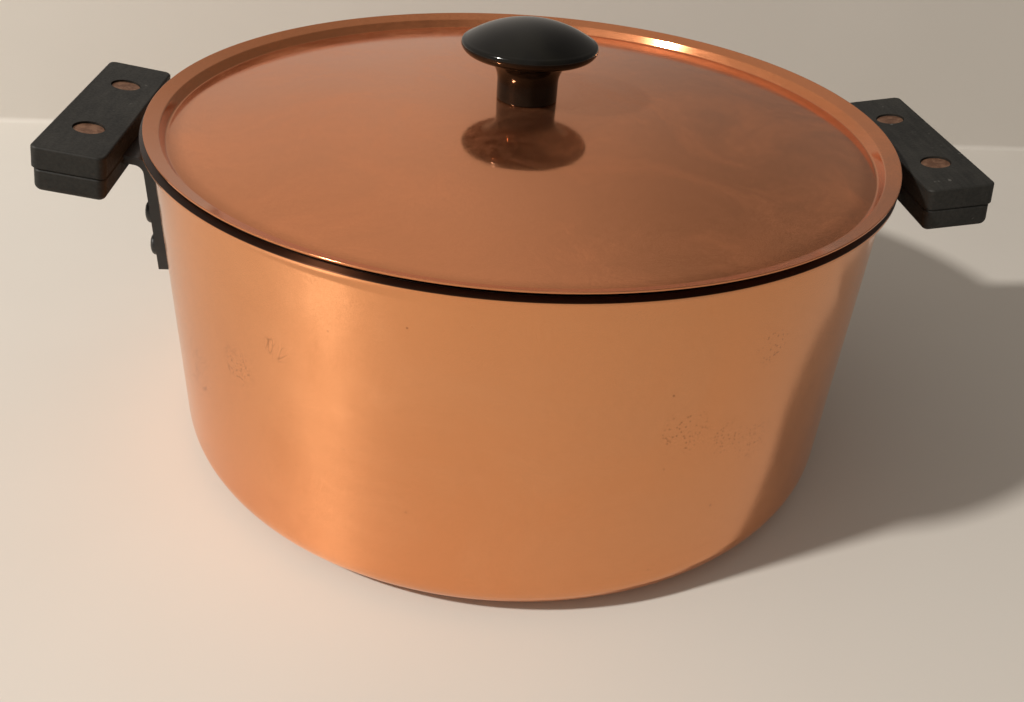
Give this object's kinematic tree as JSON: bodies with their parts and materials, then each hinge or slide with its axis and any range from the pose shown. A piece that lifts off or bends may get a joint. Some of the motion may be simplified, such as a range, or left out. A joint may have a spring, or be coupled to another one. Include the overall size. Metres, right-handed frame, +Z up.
{
  "type": "two-handled saucepan",
  "caption": "Round straight-walled copper cooking pot with a lipped rim, a dished lid with a mushroom knob, and short black side grips riveted to steel straps.",
  "frame": {"origin": "centre of the flat base, on the surface the pot stands on", "axes": "+Z up along the pot's axis, +X through the middle of one handle"},
  "size_m": [0.2476, 0.2038, 0.1197],
  "materials": {
    "copper": "polished",
    "bright_steel": "satin",
    "aged_copper": "satin",
    "black_steel": "satin",
    "grip_black": "matte",
    "knob_black": "gloss",
    "brass": "satin",
    "plated_steel": "satin"
  },
  "bodies": {
    "pot": {"pot_shell": "copper", "pot_lining": "bright_steel", "left_tang": "black_steel", "left_upper_scale": "grip_black", "left_lower_scale": "grip_black", "left_front_rivet_upper_half": "aged_copper", "left_front_rivet_lower_half": "aged_copper", "left_strap_rivet_front_upper": "black_steel", "left_strap_rivet_front_lower": "black_steel", "left_rear_rivet_upper_half": "aged_copper", "left_rear_rivet_lower_half": "aged_copper", "left_strap_rivet_rear_upper": "black_steel", "left_strap_rivet_rear_lower": "black_steel", "right_tang": "black_steel", "right_upper_scale": "grip_black", "right_lower_scale": "grip_black", "right_front_rivet_upper_half": "aged_copper", "right_front_rivet_lower_half": "aged_copper", "right_strap_rivet_front_upper": "black_steel", "right_strap_rivet_front_lower": "black_steel", "right_rear_rivet_upper_half": "aged_copper", "right_rear_rivet_lower_half": "aged_copper", "right_strap_rivet_rear_upper": "black_steel", "right_strap_rivet_rear_lower": "black_steel"},
    "lid": {"lid_shell": "copper", "lid_lining": "bright_steel", "knob": "knob_black", "knob_insert": "brass", "knob_screw": "plated_steel", "knob_washer": "plated_steel"}
  },
  "joints": [
    {"name": "lid_lift", "type": "slide", "parent": "pot", "child": "lid", "axis": [0, 0, 1], "range_m": [0, 0.06]}
  ]
}
